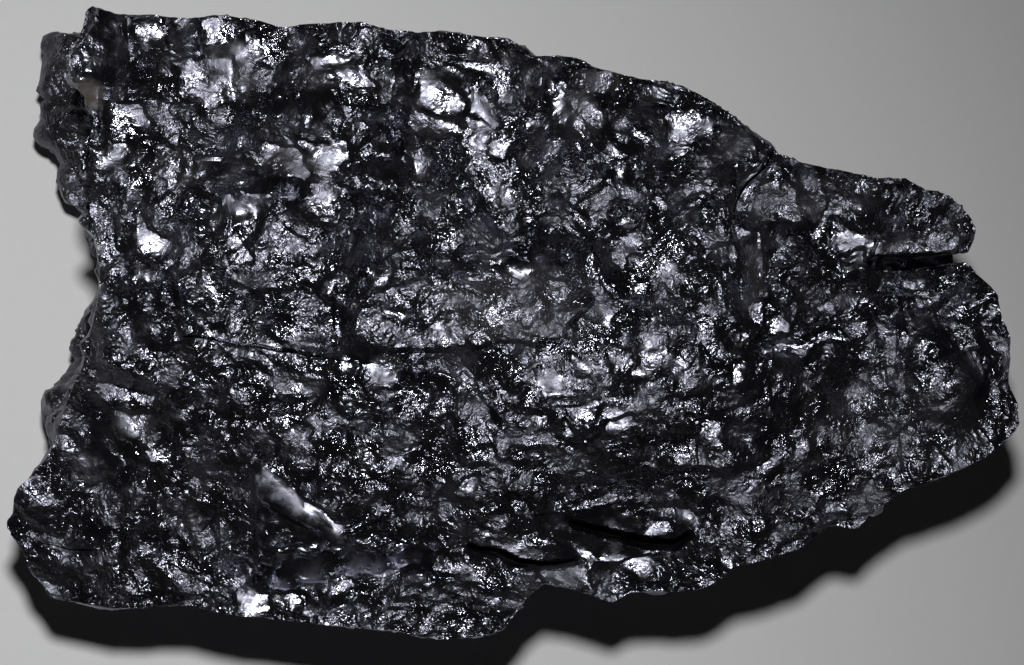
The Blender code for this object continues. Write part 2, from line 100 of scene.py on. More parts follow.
# Facets of the upper face: corners in plan units; lean east and north of the way that catches
# the light; lift in millimetres; how much of the small relief is polished off.
FACETS = [
    # the north-west corner
    ([(97, 9), (131, 18), (131, 44), (120, 72), (108, 98), (97, 78), (84, 66), (80, 50), (88, 28)],
     0.45, 0.15, -0.6, 0.68),
    ([(133, 21), (160, 17), (172, 36), (162, 50), (142, 48), (131, 34)], 0.0, 0.0, 0.5, 0.74),
    ([(170, 26), (202, 24), (203, 56), (186, 66), (170, 52)], -0.4, -0.1, -0.5, 0.54),
    ([(205, 20), (217, 21), (222, 46), (210, 50), (203, 36)], 0.0, 0.0, 0.4, 0.68),
    ([(205, 46), (241, 40), (243, 60), (214, 60)], 0.0, -0.22, 0.0, 0.85),
    ([(173, 66), (193, 60), (214, 92), (208, 108), (196, 102), (180, 86)], 0.0, 0.0, 0.3, 0.68),
    ([(210, 62), (236, 62), (236, 100), (216, 100)], 0.15, 0.1, 0.0, 0.81),
    ([(245, 40), (270, 44), (270, 62), (246, 66)], -0.12, 0.1, 0.2, 0.68),
    ([(236, 84), (243, 84), (246, 96), (234, 98)], 0.0, 0.0, 0.4, 0.7),
    ([(102, 104), (140, 108), (148, 134), (118, 140), (102, 126)], 0.03, 0.0, 0.2, 0.61),
    ([(88, 148), (120, 146), (150, 152), (136, 162), (104, 172), (90, 164)], 0.0, 0.0, 0.3, 0.68),
    ([(71, 79), (102, 84), (100, 108), (86, 98)], 0.3, -0.1, 0.0, 0.9),
    ([(142, 168), (200, 150), (192, 182), (150, 196)], 0.1, 0.15, 0.0, 0.41),
    ([(196, 158), (252, 150), (262, 176), (240, 186), (206, 172)], -0.1, 0.5, -0.9, 0.68),
    ([(190, 190), (227, 197), (222, 240), (186, 236), (180, 210)], 0.5, 0.0, -1.0, 0.41),
    ([(228, 196), (262, 208), (240, 222), (225, 239)], 0.06, 0.03, 0.6, 0.93),
    ([(224, 242), (240, 236), (248, 262), (238, 262), (230, 250)], 0.0, 0.0, 0.1, 0.54),
    ([(302, 62), (340, 50), (366, 54), (364, 70), (338, 66), (312, 74)], 0.05, -0.15, 0.3, 0.85),
    ([(336, 72), (364, 66), (374, 92), (350, 88)], 0.0, 0.0, 0.4, 0.81),
    ([(268, 88), (281, 90), (300, 118), (297, 128), (276, 116), (266, 100)], -0.2, 0.2, 0.8, 0.81),
    ([(300, 92), (330, 84), (338, 112), (312, 126), (302, 118)], 0.4, 0.3, -0.8, 0.8),
    ([(330, 92), (352, 98), (356, 120), (344, 122)], 0.02, 0.02, 0.4, 0.41),
    ([(268, 146), (300, 150), (312, 168), (300, 182), (280, 170), (266, 158)],
     0.12, -0.2, 0.1, 0.9),
    ([(302, 140), (345, 148), (345, 166), (318, 176), (304, 160)], 0.03, 0.0, 0.3, 0.81),
    ([(262, 172), (300, 182), (300, 196), (262, 196), (240, 186)], -0.2, 0.5, -0.6, 0.68),
    ([(312, 184), (342, 190), (336, 210), (316, 206)], 0.0, 0.0, 0.2, 0.54),
    ([(238, 186), (262, 192), (254, 200), (238, 196)], 0.1, 0.2, 0.4, 0.8),
    # the north side
    ([(410, 82), (440, 74), (456, 82), (466, 108), (458, 120), (430, 116), (408, 110)],
     0.0, 0.0, 0.9, 0.81),
    ([(464, 84), (472, 96), (474, 118), (464, 122), (466, 104)], 0.7, 0.0, -0.2, 0.9),
    ([(474, 90), (486, 100), (500, 128), (492, 130), (474, 112)], 0.12, 0.05, -0.3, 0.95),
    ([(458, 62), (476, 70), (498, 66), (504, 56), (516, 78), (514, 100), (500, 98), (486, 76),
      (462, 72)], 0.0, 0.0, 0.4, 0.68),
    ([(516, 56), (545, 72), (560, 60), (552, 96), (530, 110), (518, 84)], -0.45, 0.1, -0.2, 0.68),
    ([(408, 112), (440, 118), (462, 132), (440, 134), (410, 128)], 0.05, 0.18, 0.3, 0.68),
    ([(462, 116), (500, 140), (484, 152), (470, 140)], 0.0, 0.0, 0.4, 0.75),
    ([(398, 60), (410, 50), (404, 110), (396, 150), (388, 120)], 0.3, 0.4, -1.2, 0.27),
    ([(350, 160), (402, 156), (412, 180), (390, 196), (356, 190)], 0.3, 0.4, -1.1, 0.27),
    ([(412, 150), (434, 158), (430, 178), (412, 176)], 0.1, 0.0, 0.3, 0.54),
    ([(492, 140), (514, 142), (508, 162), (492, 156)], 0.0, 0.0, 0.3, 0.54),
    ([(515, 150), (560, 120), (556, 170), (520, 184)], -0.3, 0.3, -0.8, 0.41),
    ([(560, 92), (604, 96), (600, 132), (562, 120)], 0.1, -0.2, 0.2, 0.5),
    ([(550, 76), (562, 84), (562, 106), (552, 122), (546, 104)], 0.0, 0.0, 0.5, 0.68),
    ([(580, 70), (620, 76), (616, 100), (588, 92)], -0.25, 0.2, 0.1, 0.7),
    ([(606, 108), (660, 104), (660, 150), (612, 128)], 0.35, 0.35, -0.9, 0.47),
    ([(576, 130), (604, 132), (600, 158), (588, 152)], 0.1, 0.1, 0.3, 0.7),
    ([(600, 140), (626, 156), (610, 166), (598, 156)], 0.0, 0.0, 0.4, 0.68),
    ([(640, 84), (700, 92), (740, 122), (772, 148), (762, 150), (720, 124), (690, 100),
      (642, 96)], 0.3, 0.5, -0.2, 0.4),
    ([(664, 118), (690, 110), (712, 114), (716, 138), (694, 142), (668, 140)],
     0.0, 0.0, 0.3, 0.78),
    ([(660, 158), (686, 142), (690, 150), (672, 166)], 0.0, 0.0, 0.3, 0.68),
    ([(690, 160), (706, 164), (704, 180), (694, 176)], 0.0, 0.0, 0.3, 0.54),
    ([(716, 128), (752, 136), (748, 160), (720, 156)], 0.28, -0.22, 0.2, 0.5),
    ([(660, 180), (740, 172), (732, 204), (690, 196), (664, 206)], 0.1, 0.4, -0.5, 0.47),
    ([(668, 222), (700, 200), (706, 208), (680, 232)], 0.05, 0.05, 0.5, 0.41),
    ([(652, 196), (664, 206), (660, 216), (648, 202)], 0.0, 0.0, 0.3, 0.54),
    ([(568, 204), (580, 212), (582, 232), (566, 226)], 0.0, 0.0, 0.3, 0.54),
    ([(610, 166), (624, 176), (622, 192), (612, 184)], 0.0, 0.0, 0.3, 0.54),
    # the east end
    ([(732, 224), (746, 232), (762, 262), (772, 300), (756, 300), (744, 270)],
     0.28, -0.28, 0.2, 0.6),
    ([(768, 186), (778, 176), (780, 194)], 0.0, 0.0, 0.3, 0.54),
    ([(745, 200), (762, 196), (758, 214)], 0.0, 0.0, 0.3, 0.54),
    ([(836, 222), (860, 228), (890, 238), (872, 262), (868, 276), (838, 268), (832, 246)],
     0.05, 0.02, 0.5, 0.68),
    ([(842, 258), (866, 254), (868, 268), (846, 270)], 0.0, 0.0, 0.6, 0.81),
    ([(880, 236), (960, 224), (968, 236), (950, 252), (880, 258)], 0.1, -0.15, 0.5, 0.35),
    ([(872, 272), (930, 268), (940, 290), (880, 292)], 0.0, 0.5, -1.6, 0.5),
    ([(746, 308), (762, 304), (764, 318), (750, 320)], 0.0, 0.0, 0.4, 0.68),
    ([(764, 318), (784, 322), (786, 336), (766, 334)], 0.05, 0.0, 0.3, 0.81),
    ([(752, 338), (840, 330), (850, 346), (760, 350)], 0.0, 0.4, -0.8, 0.41),
    ([(728, 364), (738, 362), (738, 376), (730, 376)], 0.0, 0.0, 0.5, 0.7),
    ([(752, 468), (776, 450), (786, 454), (760, 474)], 0.0, 0.0, 0.4, 0.54),
    ([(700, 420), (722, 424), (722, 444), (704, 440)], 0.08, 0.0, 0.3, 0.68),
    # the middle
    ([(370, 268), (392, 270), (388, 290), (370, 286)], 0.05, 0.0, 0.4, 0.81),
    ([(356, 300), (380, 290), (460, 270), (560, 280), (590, 300), (560, 340), (470, 345),
      (400, 350), (352, 330)], 0.08, -0.08, 0.1, 0.22),
    ([(384, 304), (412, 312), (408, 318), (386, 310)], 0.0, 0.0, 0.4, 0.81),
    ([(504, 262), (530, 256), (540, 268), (520, 276), (504, 272)], 0.05, -0.2, 0.3, 0.85),
    ([(324, 276), (340, 280), (330, 300), (322, 290)], 0.0, 0.0, 0.3, 0.7),
    ([(346, 228), (366, 232), (360, 282), (350, 342), (333, 342), (338, 292)],
     0.5, 0.2, -1.0, 0.5),
    ([(212, 276), (222, 290), (216, 298), (208, 284)], 0.0, 0.0, 0.3, 0.81),
    ([(336, 358), (362, 360), (358, 372), (340, 372)], 0.0, 0.0, 0.4, 0.8),
    ([(370, 362), (398, 370), (396, 382), (376, 376)], 0.1, 0.0, 0.3, 0.8),
    ([(400, 372), (450, 376), (456, 392), (430, 398), (402, 388)], 0.0, 0.5, -1.4, 0.54),
    ([(640, 336), (662, 332), (664, 346), (640, 350)], 0.0, 0.0, 0.4, 0.54),
    ([(612, 350), (632, 356), (628, 368), (616, 366)], 0.0, 0.0, 0.3, 0.68),
    ([(632, 366), (652, 370), (650, 376), (634, 376)], 0.0, 0.0, 0.3, 0.68),
    ([(572, 358), (602, 370), (600, 378), (576, 372)], 0.0, 0.0, 0.4, 0.81),
    ([(540, 376), (560, 376), (562, 392), (546, 392)], 0.1, 0.1, 0.3, 0.9),
    ([(566, 404), (596, 404), (592, 418), (570, 416)], 0.0, 0.0, 0.4, 0.61),
    ([(530, 420), (546, 418), (540, 430)], 0.0, 0.0, 0.3, 0.81),
    ([(560, 416), (575, 430), (568, 436)], 0.0, 0.0, 0.3, 0.81),
    ([(600, 422), (632, 420), (628, 432), (606, 430)], 0.0, 0.0, 0.3, 0.68),
    ([(596, 310), (618, 312), (606, 326)], 0.0, 0.0, 0.4, 0.68),
    ([(630, 280), (644, 284), (640, 294), (630, 290)], 0.0, 0.0, 0.3, 0.54),
    ([(660, 262), (672, 264), (678, 282), (664, 284)], 0.0, 0.0, 0.3, 0.54),
    # the west side
    ([(138, 236), (148, 230), (172, 244), (168, 256), (146, 262), (132, 256)],
     0.03, -0.02, 0.3, 0.8),
    ([(130, 270), (148, 268), (144, 280), (132, 278)], 0.15, 0.0, 0.4, 0.85),
    ([(108, 290), (170, 284), (196, 330), (150, 345), (112, 330)], 0.3, 0.3, -0.8, 0.14),
    ([(84, 392), (104, 388), (140, 400), (150, 398), (144, 412), (120, 412), (98, 400)],
     0.1, 0.05, 0.3, 0.4),
    ([(110, 412), (146, 414), (130, 440), (112, 436)], 0.22, 0.16, 0.2, 0.7),
    ([(60, 450), (96, 446), (112, 470), (80, 488), (56, 478)], 0.35, 0.5, -0.5, 0.5),
    ([(40, 430), (62, 432), (58, 450), (42, 448)], 0.0, 0.0, 0.3, 0.54),
    ([(140, 452), (166, 450), (166, 464), (144, 464)], 0.0, 0.0, 0.3, 0.54),
    # the south-west corner
    ([(256, 500), (330, 540), (330, 550), (262, 552), (250, 530)], 0.15, 0.45, 0.0, 0.6),
    ([(254, 476), (262, 468), (274, 472), (300, 500), (322, 512), (344, 536), (350, 548),
      (336, 544), (318, 530), (296, 522), (270, 508), (256, 494)], 0.06, 0.2, 0.2, 1.0),
    ([(304, 503), (320, 512), (340, 533), (336, 537), (318, 520)], 0.0, 0.02, 0.6, 0.98),
    ([(245, 586), (252, 566), (280, 556), (330, 552), (380, 549), (420, 546), (436, 553),
      (420, 566), (380, 575), (330, 583), (290, 589), (262, 592)], 0.0, 0.65, -3.6, 0.93),
    ([(228, 600), (262, 598), (264, 614), (232, 616)], -0.02, 0.02, 0.3, 0.85),
    ([(286, 592), (302, 596), (304, 618), (290, 616)], 0.0, 0.0, 0.3, 0.61),
    ([(320, 584), (350, 586), (350, 606), (324, 608)], 0.03, 0.0, 0.3, 0.54),
    # the south side
    ([(470, 484), (482, 480), (488, 492), (474, 502), (464, 498)], 0.0, 0.0, 0.5, 0.81),
    ([(486, 528), (496, 534), (486, 541)], 0.0, 0.0, 0.4, 0.81),
    ([(490, 540), (522, 550), (516, 558), (492, 548)], 0.1, 0.0, 0.3, 0.7),
    ([(540, 516), (600, 512), (680, 540), (640, 560), (580, 560), (540, 540)],
     0.0, 0.35, -0.7, 0.81),
    ([(545, 565), (578, 572), (592, 592), (570, 590), (548, 576)], 0.25, 0.22, 0.2, 0.75),
    ([(628, 560), (650, 556), (664, 572), (650, 582), (634, 574)], 0.0, 0.0, 0.3, 0.61),
    ([(680, 518), (692, 506), (702, 518), (694, 530), (682, 526)], 0.0, 0.0, 0.5, 0.68),
    ([(648, 524), (668, 524), (672, 534), (652, 536)], 0.0, 0.0, 0.3, 0.54),
]
CATCH_PLACE = np.array([0.5, 24.4])  # a level facet here would mirror the light to the eye
CATCH_REACH = 303.0  # and one this far off would have to lean by one in one
FACET_EDGE = 0.6  # width of the break at a facet's edge
FACET_GROWTH = 0.25  # how far a facet reaches over its outline
LIFT_EDGE = 0.7  # how far in from the edge a facet is at its full lift
LIFT_SHARE = 0.35  # how much of the lifts above is used
FACET_MARGIN = 1.0
GLASSY = 0.95  # facets polished at least this much have straight edges
FACET_WOBBLE = [(3.2, 0.7, (41, 42)), (1.3, 0.35, (43, 44))]  # how far the breaks wander

# Wider parts that lie calmer or lean away: middle in plan units, reach east and south, lean east
# and north of the way that catches the light, and how far the relief on them is calmed.
CALMER_PARTS = [
    (135, 330, 40, 70, 0.1, 0.1, 0.0),
    (430, 82, 85, 34, 0.0, 0.0, 0.35), (322, 122, 34, 26, 0.0, 0.0, 0.3),
    (590, 400, 62, 34, 0.0, 0.0, 0.25), (675, 520, 28, 14, 0.0, 0.0, 0.3),
    (180, 72, 24, 26, 0.0, 0.0, 0.25),
    (905, 395, 70, 70, 0.16, 0.16, 0.0), (250, 328, 62, 36, 0.14, 0.14, 0.0),
    (500, 575, 60, 22, 0.1, 0.2, 0.0), (728, 528, 40, 26, 0.1, 0.2, 0.0),
    (470, 425, 34, 24, 0.12, 0.12, 0.0), (680, 375, 30, 22, 0.12, 0.12, 0.0),
    (225, 578, 34, 22, 0.1, 0.2, 0.0), (850, 540, 40, 20, 0.1, 0.2, 0.0),
    (700, 450, 60, 22, 0.1, 0.12, 0.0),
]
CALMER_EDGE = (1.2, 0.5)  # where a part begins and is full, as a share of its reach

# Troughs between the blocks: depth, half width, and the points of the trough's floor.
TROUGHS = [
    (1.1, 1.1, [(300, 42), (270, 70), (262, 100), (240, 145), (228, 190)]),
    (1.3, 1.2, [(385, 190), (370, 240), (345, 300), (335, 340)]),
    (0.8, 0.7, [(304, 40), (302, 60)]),
    (0.9, 0.6, [(414, 38), (408, 66), (402, 90)]),
    (0.9, 0.7, [(392, 250), (440, 262), (520, 252), (575, 256)]),
    (0.9, 0.9, [(830, 168), (850, 184), (872, 198), (886, 212)]),
    (0.7, 0.5, [(771, 152), (752, 176), (738, 198), (731, 220), (738, 258), (746, 300)]),
    (0.8, 0.8, [(240, 156), (262, 170), (300, 190)]),
    (0.6, 0.6, [(630, 300), (660, 306), (690, 312)]),
    (0.7, 0.6, [(570, 490), (600, 484), (640, 490), (690, 470)]),
    (0.7, 0.6, [(650, 176), (700, 188), (730, 180)]),
    (0.6, 0.5, [(600, 104), (650, 100), (700, 112)]),
    (0.8, 0.8, [(60, 470), (110, 490), (150, 470), (160, 430)]),
    (0.7, 0.6, [(200, 520), (206, 556), (230, 580)]),
]

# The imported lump's joints on the south side, filled here and cut again as gaps.
FILLED_JOINTS = [
    [(476, 547), (507, 559), (537, 565), (570, 567)],
    [(570, 525), (602, 535), (642, 543), (683, 548)],
]
FILL_REACH, FILL_DEPTH = 1.1, 10.0

# Gaps that gape between blocks: depth, then the corners of the mouth in plan units.
GAPS = [
    (6.0, [(868, 262), (880, 256), (902, 255), (950, 253), (957, 260), (944, 267), (900, 269),
           (874, 267)]),
    (5.0, [(468, 546), (500, 551), (520, 560), (550, 564), (576, 560), (577, 566), (548, 571),
           (516, 568), (498, 557), (470, 550)]),
    (6.5, [(570, 522), (610, 531), (650, 540), (676, 542), (692, 532), (694, 537), (678, 551),
           (648, 550), (608, 539), (572, 528)]),
]
GAP_EDGE = (-0.2, 0.45)  # how far in from its mouth a gap begins and is at its deepest
GAP_BELOW = (2.0, 0.0)  # nothing this far under the level is pressed down by a gap

# Fine cracks: width, depth, and the points of the crack in plan units.
CRACKS = [
    (0.55, 2.2, [(184, 335), (220, 341), (262, 347), (298, 352), (323, 357)]),
    (0.16, 1.0, [(323, 357), (352, 361), (398, 367), (428, 372)]),
    (0.18, 1.2, [(570, 358), (592, 366), (614, 376), (634, 384)]),
    (0.14, 0.8, [(601, 344), (603, 358), (600, 373)]),
    (0.16, 1.0, [(330, 415), (352, 419), (380, 426)]),
    (0.22, 1.4, [(20, 547), (38, 551), (60, 556), (90, 556)]),
    (0.20, 1.2, [(798, 519), (812, 524), (828, 531), (862, 534)]),
    (0.24, 1.6, [(304, 30), (303, 46), (304, 62)]),
    (0.16, 1.0, [(140, 82), (162, 96), (190, 108), (212, 124)]),
    (0.14, 0.9, [(300, 62), (322, 74), (348, 88), (362, 96)]),
    (0.18, 1.2, [(470, 78), (474, 98), (466, 120)]),
    (0.16, 1.0, [(498, 112), (520, 121), (546, 132)]),
    (0.18, 1.2, [(262, 92), (245, 112), (232, 122)]),
    (0.16, 1.0, [(500, 258), (530, 255), (576, 261)]),
    (0.20, 1.3, [(752, 340), (790, 338), (852, 341)]),
    (0.14, 0.8, [(505, 291), (530, 288), (562, 291)]),
    (0.16, 1.0, [(612, 104), (640, 102), (666, 108)]),
    (0.30, 1.6, [(772, 150), (766, 166), (750, 182), (738, 196), (733, 214)]),
]
CRACK_BITE = 1.2  # how far the crack blades stand over the face
BLADE_STEPS = 14
BLADE_TIP = 0.02  # how much of its tapered length is left off at each end
BLADE_TOP, BLADE_FOOT = 1.2, 0.3  # a blade's width at its top and its foot
BLADE_BEND, BLADE_WANDER, BLADE_SEEDS = 1.4, 0.18, (61, 62)  # size, reach and seeds of its bends

# Where the skin is duller, and where it is stained brown: middle in plan units, reach east and
# south, and how much.
DULL = [
    (520, 305, 75, 42, 0.48), (96, 300, 8, 110, 0.36), (88, 92, 20, 16, 0.6),
    (758, 275, 16, 30, 0.42), (580, 118, 26, 22, 0.48), (287, 160, 26, 20, 0.48),
    (385, 368, 16, 12, 0.48), (300, 385, 24, 12, 0.3), (568, 578, 26, 14, 0.54),
    (130, 426, 26, 18, 0.48), (180, 175, 34, 20, 0.3), (735, 145, 18, 14, 0.48),
    (925, 245, 50, 14, 0.36), (870, 500, 22, 20, 0.36), (550, 384, 14, 10, 0.48),
    (225, 52, 22, 12, 0.42), (320, 76, 30, 14, 0.3), (440, 128, 30, 12, 0.3),
    (820, 200, 60, 22, 0.3), (900, 420, 90, 50, 0.24), (240, 80, 24, 24, 0.24),
]
SIDES_DULL, SHELF_DULL = 1.0, 0.25  # the steep west side, and what else is under the rim
SIDES_BELOW = (1.5, 5.0)  # how far under the level that begins and is full
STEEP_FACING = (0.8, 0.4)
DULL_WEST = (-30.0, -42.0)  # the steep sides are dull from here to the west
STAINS = [
    (588, 76, 12, 7, 0.3), (610, 86, 11, 7, 0.3), (516, 58, 10, 10, 0.2), (88, 93, 18, 15, 0.9),
    (555, 66, 9, 5, 0.2), (640, 98, 12, 6, 0.2),
]
PATCH_EDGE = (1.15, 0.75)  # where a patch begins and is full, as a share of its reach
PATCH_RAGGED = [(2.0, 0.35, 71), (0.9, 0.25, 72)]  # size, reach and seed of its ragged edge
PATCH_HIGH = (18.0, 26.0)  # patches lie above this height

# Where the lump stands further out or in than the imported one: middle, reach and shift, each east,
# north and up.
SHIFTS = [
    ((-51.0, 24.0, 7.0), (7.0, 14.0, 10.0), (-1.6, 0.5, 0.0)),  # the low shelf
    ((-50.0, 24.3, 7.0), (4.0, 2.6, 9.0), (-1.2, 0.0, 0.0)),
    ((-50.2, 19.2, 7.0), (4.0, 2.6, 9.0), (-1.2, 0.0, 0.0)),
    ((-47.0, 13.5, 7.0), (4.0, 2.6, 9.0), (-1.0, 0.0, 0.0)),
    ((-48.0, 31.0, 8.0), (7.0, 5.0, 9.0), (0.0, 1.6, 0.0)),
    ((-49.0, -9.0, 9.0), (6.0, 10.0, 10.0), (-1.5, 0.0, 0.0)),  # the west foot
    ((-46.0, 4.5, 10.0), (5.0, 5.0, 9.0), (-0.7, 0.0, 0.0)),
    ((46.5, 12.0, 33.0), (7.0, 7.0, 9.0), (0.5, 0.6, 0.0)),  # the north-east tip
    ((-1.0, 29.5, 35.0), (12.0, 4.0, 9.0), (0.0, -0.5, 0.0)),  # the north rim
    ((3.5, 27.5, 35.0), (5.0, 4.0, 9.0), (0.0, -0.5, 0.0)),
    ((-51.0, -24.0, 24.0), (6.0, 9.0, 14.0), (0.8, 0.0, 0.0)),  # the south-west corner
]
SHIFT_EDGE = (1.0, 0.2)  # where a shift begins and is full, as a share of its reach
SHELF_SLOPE, SHELF_EAST = 0.035, -43.5  # how the low shelf falls to the west, and from where
SHELF_NORTH, SHELF_BELOW = (6.0, 12.0), (20.0, 12.0)  # the low shelf is north of and under these

# Lumps and scallops on every face, from the largest down: 1 for mounds parted by sharp grooves
# or -1 for hollows parted by sharp crests, cell size, slope, fullness, unevenness, seed, and how
# far the smoothest cells hold back the finer ones on them.
LUMPS = [
    (1, 5.0, 0.30, 0.34, 0.08, 23, 0.60),
    (1, 2.5, 0.42, 0.40, 0.10, 37, 0.45),
    (-1, 1.3, 0.55, 0.50, 0.12, 53, 0.5),
]
SMOOTH_CELLS = (0.05, 0.30)  # cells keyed below the first are smooth, above the second rough
BOLD_FROM = (-2.0, 9.0)  # the large lumps are bold only north of here
FINE_SHARE, BOLD_CELL = 0.55, 2.0  # how bold they are elsewhere, and the least large cell
STRETCH = np.array([0.80, 1.0, 1.05])  # under 1 draws the lumps out that way
WARPS = [(6.0, 1.9), (2.6, 0.9), (1.2, 0.3)]  # size and reach of the swirls in the relief


# ---------------------------------------------------------------------------------------
# Numbers that look random but are the same every time
# ---------------------------------------------------------------------------------------
def hashed(cells, seed, index):
    """A number from 0 to 1 for each whole-numbered cell."""
    mixed = (
        cells[:, 0] * 73856093
        ^ cells[:, 1] * 19349663
        ^ cells[:, 2] * 83492791
        ^ np.int64(seed * 2654435 + index * 97531)
    )
    mixed = (mixed ^ (mixed >> 13)) * 1274126177
    mixed = (mixed ^ (mixed >> 16)) * 668265263
    mixed = mixed ^ (mixed >> 15)
    return (mixed & 0xFFFFFF) / float(0xFFFFFF)


def wander(points, size, seed):
    """Smooth noise from -1 to 1 at each point, with lumps of the given size."""
    scaled = points / size
    corner = np.floor(scaled).astype(np.int64)
    part = scaled - corner
    ease = part * part * (3.0 - 2.0 * part)
    total = np.zeros(len(points))
    for offset in itertools.product((0, 1), repeat=3):
        step = np.array(offset)
        weight = np.prod(np.where(step == 1, ease, 1.0 - ease), axis=1)
        total += weight * hashed(corner + step, seed, 7)
    return total * 2.0 - 1.0


def dishes(points, cell, slope, hollow, uneven, seed):
    """Height of tilted dishes that meet in sharp ridges, and each point's dish's own number."""
    scaled = points / cell
    corner = np.floor(scaled).astype(np.int64)
    lowest = np.full(len(points), FAR)
    key = np.zeros(len(points))
    for offset in itertools.product((-1, 0, 1), repeat=3):
        cells = corner + np.array(offset)
        away = scaled - cells
        level = hashed(cells, seed, 6)
        height = uneven * (2.0 * level - 1.0)
        for axis in range(3):
            gap = away[:, axis] - hashed(cells, seed, axis)
            tilt = 2.0 * hashed(cells, seed, axis + 3) - 1.0
            height = height + hollow * gap * gap + slope * tilt * gap
        lower = height < lowest
        lowest = np.where(lower, height, lowest)
        key = np.where(lower, level, key)
    return cell * (lowest - lowest.mean()), key


def broken_relief(points):
    """Height of all the lumps together, and how crumbled the face is at each point, 0 to 1."""
    boldness = FINE_SHARE + (1.0 - FINE_SHARE) * smooth(points[:, 1], *BOLD_FROM)
    for index, (size, reach) in enumerate(WARPS):
        seeds = (3 * index + 1, 3 * index + 2, 3 * index + 3)
        points = points + np.stack([wander(points, size, seed) for seed in seeds], axis=1) * reach
    points = points * STRETCH
    total = np.zeros(len(points))
    crumble = np.ones(len(points))
    for way, cell, slope, fullness, uneven, seed, held in LUMPS:
        height, key = dishes(points, cell, slope, fullness, uneven, seed)
        total -= way * height * crumble * (boldness if cell > BOLD_CELL else 1.0)
        crumble = crumble * (held + (1.0 - held) * smooth(key, *SMOOTH_CELLS))
    return total, crumble


# ---------------------------------------------------------------------------------------
# Plan geometry
# ---------------------------------------------------------------------------------------
def smooth(value, low, high):
    share = np.clip((value - low) / (high - low), 0.0, 1.0)
    return share * share * (3.0 - 2.0 * share)


def plan_point(u, v, height=FACE_HEIGHT):
    scale = (EYE_HEIGHT - height) / PLAN_REACH
    return (
        (u - PLAN_MIDDLE[0]) * scale + EYE_PLACE[0],
        (PLAN_MIDDLE[1] - v) * scale + EYE_PLACE[1],
    )


def plan_path(path, height=FACE_HEIGHT):
    return np.array([plan_point(u, v, height) for u, v in path])


def distance_to_path(points, path, closed=False):
    """Distance of each point to a path, and its side: 1 on the right hand, -1 on the left."""
    ends = np.vstack([path, path[:1]]) if closed else path
    best = np.full(len(points), FAR)
    side = np.ones(len(points))
    for start, end in zip(ends, ends[1:]):
        run = end - start
        share = np.clip(((points - start) @ run) / (run @ run), 0.0, 1.0)
        gap = points - start - share[:, None] * run
        away = np.hypot(gap[:, 0], gap[:, 1])
        cross = run[0] * (points[:, 1] - start[1]) - run[1] * (points[:, 0] - start[0])
        nearer = away < best
        best = np.where(nearer, away, best)
        side = np.where(nearer, np.where(cross < 0.0, 1.0, -1.0), side)
    return best, side


def depth_inside(points, corners):
    """Distance in from the edge of an outline; negative outside it."""
    edge, _ = distance_to_path(points, corners, closed=True)
    inside = np.zeros(len(points), bool)
    for (ax, ay), (bx, by) in zip(corners, np.roll(corners, -1, axis=0)):
        if ay == by:
            continue
        crosses = (points[:, 1] < ay) != (points[:, 1] < by)
        at = ax + (points[:, 1] - ay) * (bx - ax) / (by - ay)
        inside ^= crosses & (points[:, 0] < at)
    return np.where(inside, edge, -edge)


# ---------------------------------------------------------------------------------------
# Blender helpers
# ---------------------------------------------------------------------------------------
def only(obj):
    bpy.ops.object.select_all(action="DESELECT")
    obj.select_set(True)
    bpy.context.view_layer.objects.active = obj


def apply_modifier(obj, kind, **values):
    only(obj)
    modifier = obj.modifiers.new(kind.lower(), kind)
    for name, value in values.items():
        setattr(modifier, name, value)
    bpy.ops.object.modifier_apply(modifier=modifier.name)


def read_points(obj):
    flat = np.empty(len(obj.data.vertices) * 3)
    obj.data.vertices.foreach_get("co", flat)
    return flat.reshape(-1, 3) / MM


def write_points(obj, points):
    obj.data.vertices.foreach_set("co", (points * MM).ravel())
    obj.data.update()


def read_normals(obj):
    flat = np.empty(len(obj.data.vertices) * 3)
    obj.data.vertices.foreach_get("normal", flat)
    return flat.reshape(-1, 3)


def set_attribute(obj, name, values):
    attribute = obj.data.attributes.new(name, "FLOAT", "POINT")
    attribute.data.foreach_set("value", values.astype(np.float32))


# ---------------------------------------------------------------------------------------
# The lump
# ---------------------------------------------------------------------------------------
def cast_lump(node):
    """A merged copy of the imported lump, cast in an even fine skin."""
    lump = bpy.data.objects.new("anthracite_lump", node.data.copy())
    bpy.context.scene.collection.objects.link(lump)
    only(lump)
    bpy.ops.object.mode_set(mode="EDIT")
    bpy.ops.mesh.select_all(action="SELECT")
    bpy.ops.mesh.remove_doubles(threshold=MERGE_REACH * MM)
    bpy.ops.object.mode_set(mode="OBJECT")
    voxel = SKIN_VOXEL
    apply_modifier(lump, "REMESH", mode="VOXEL", voxel_size=voxel * MM)
    apply_modifier(lump, "SMOOTH", factor=0.5, iterations=SKIN_SMOOTHING)
    return lump


